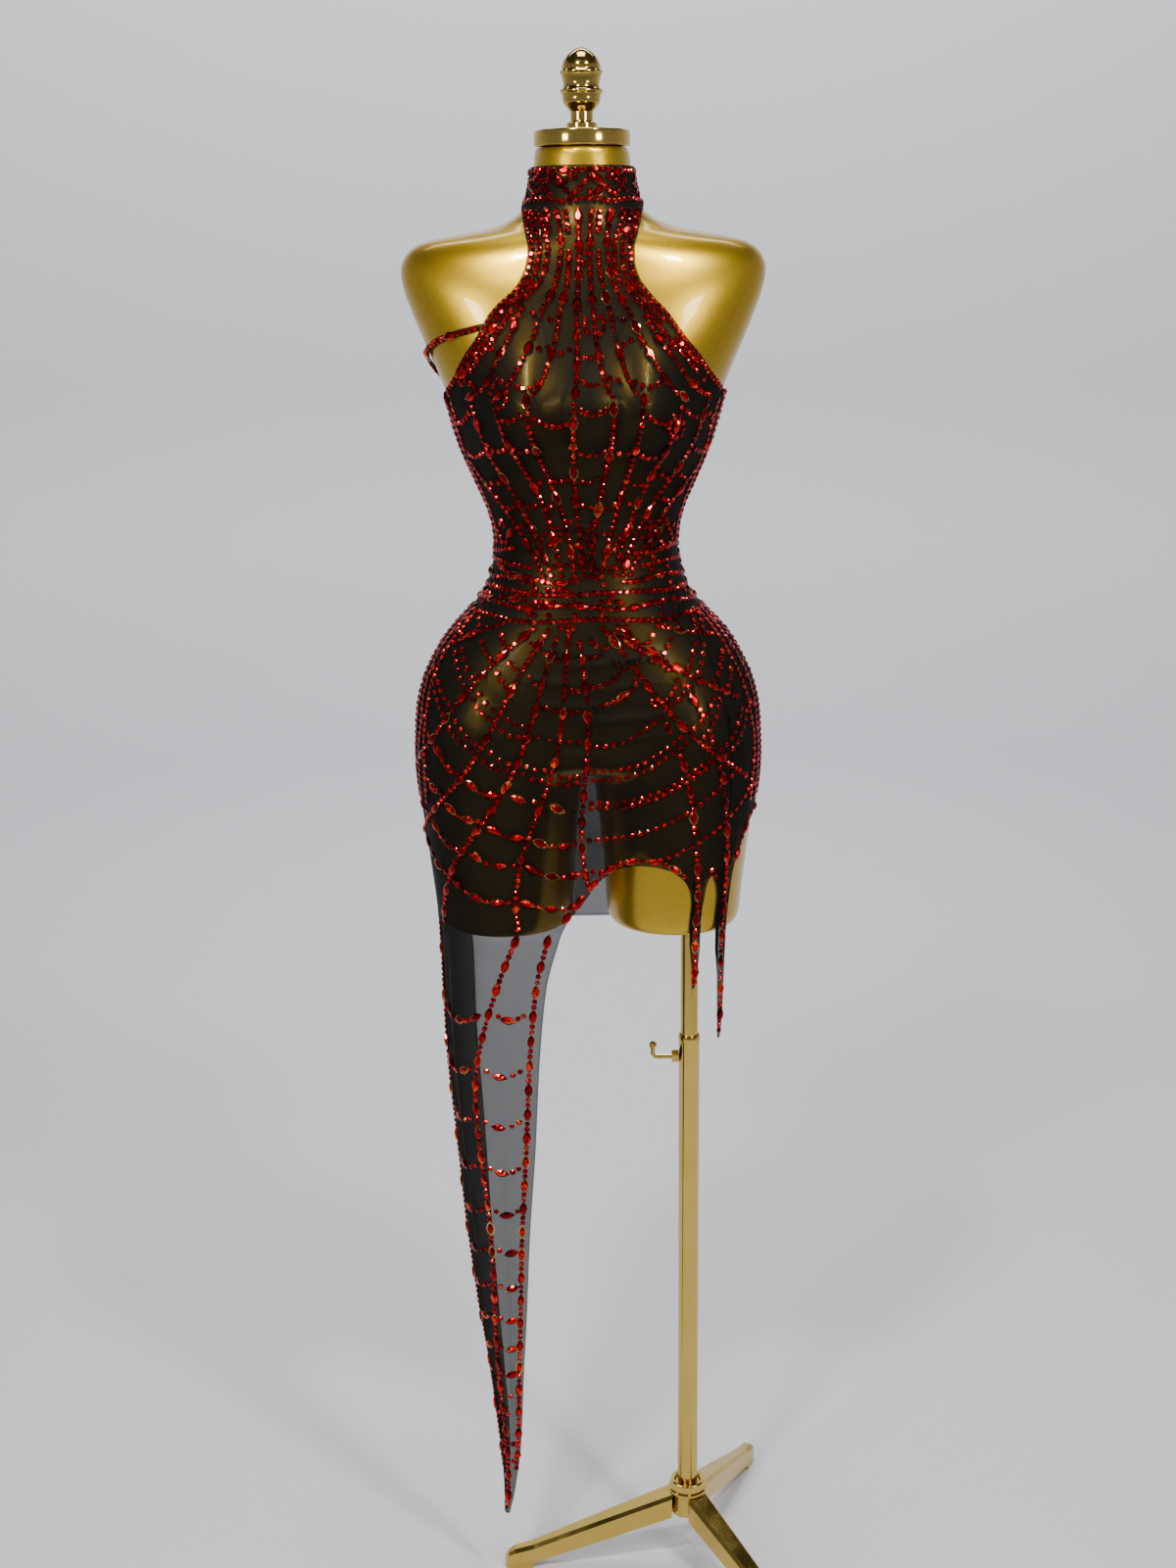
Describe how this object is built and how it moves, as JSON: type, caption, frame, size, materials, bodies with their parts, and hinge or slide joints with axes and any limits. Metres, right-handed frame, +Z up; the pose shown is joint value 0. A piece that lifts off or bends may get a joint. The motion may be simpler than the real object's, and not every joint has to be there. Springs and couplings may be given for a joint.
{
  "type": "stage costume dress on a dress form and stand",
  "caption": "Sheer halter stage dress with a long side tail, on a limbless dress form that turns and slides on a telescopic tripod stand.",
  "frame": {"origin": "centre of the object's footprint box, on the floor", "axes": "+Z up, the dress's front faces -Y, +X to the right of a viewer in front"},
  "size_m": [0.4472, 0.4044, 1.8111],
  "materials": {
    "stretch_mesh": "matte",
    "gold_lacquer": "satin",
    "polished_brass": "polished",
    "red_stone": "gloss"
  },
  "bodies": {
    "base": {"lower_tube": "polished_brass", "clamp_nut": "polished_brass", "hub": "polished_brass", "leg_1": "polished_brass", "leg_2": "polished_brass", "leg_3": "polished_brass"},
    "mast": {"upper_tube": "polished_brass"},
    "dressed_form": {"front_panel": "stretch_mesh", "back_panel": "stretch_mesh", "arm_strap": "stretch_mesh", "dress_form": "gold_lacquer", "neck_plate": "polished_brass", "finial": "polished_brass"},
    "clamp": {"clamp_screw": "polished_brass"}
  },
  "joints": [
    {"name": "height", "type": "slide", "parent": "base", "child": "mast", "axis": [0, 0, 1], "range_m": [-0.07, 0.2]},
    {"name": "turn", "type": "hinge", "parent": "mast", "child": "dressed_form", "pos_m": [0.0879, -0.00942, 0.95], "axis": [0, 0, 1], "continuous": true},
    {"name": "clamp_turn", "type": "hinge", "parent": "base", "child": "clamp", "pos_m": [0.0879, -0.00942, 0.684], "axis": [1, 0, 0], "continuous": true}
  ]
}
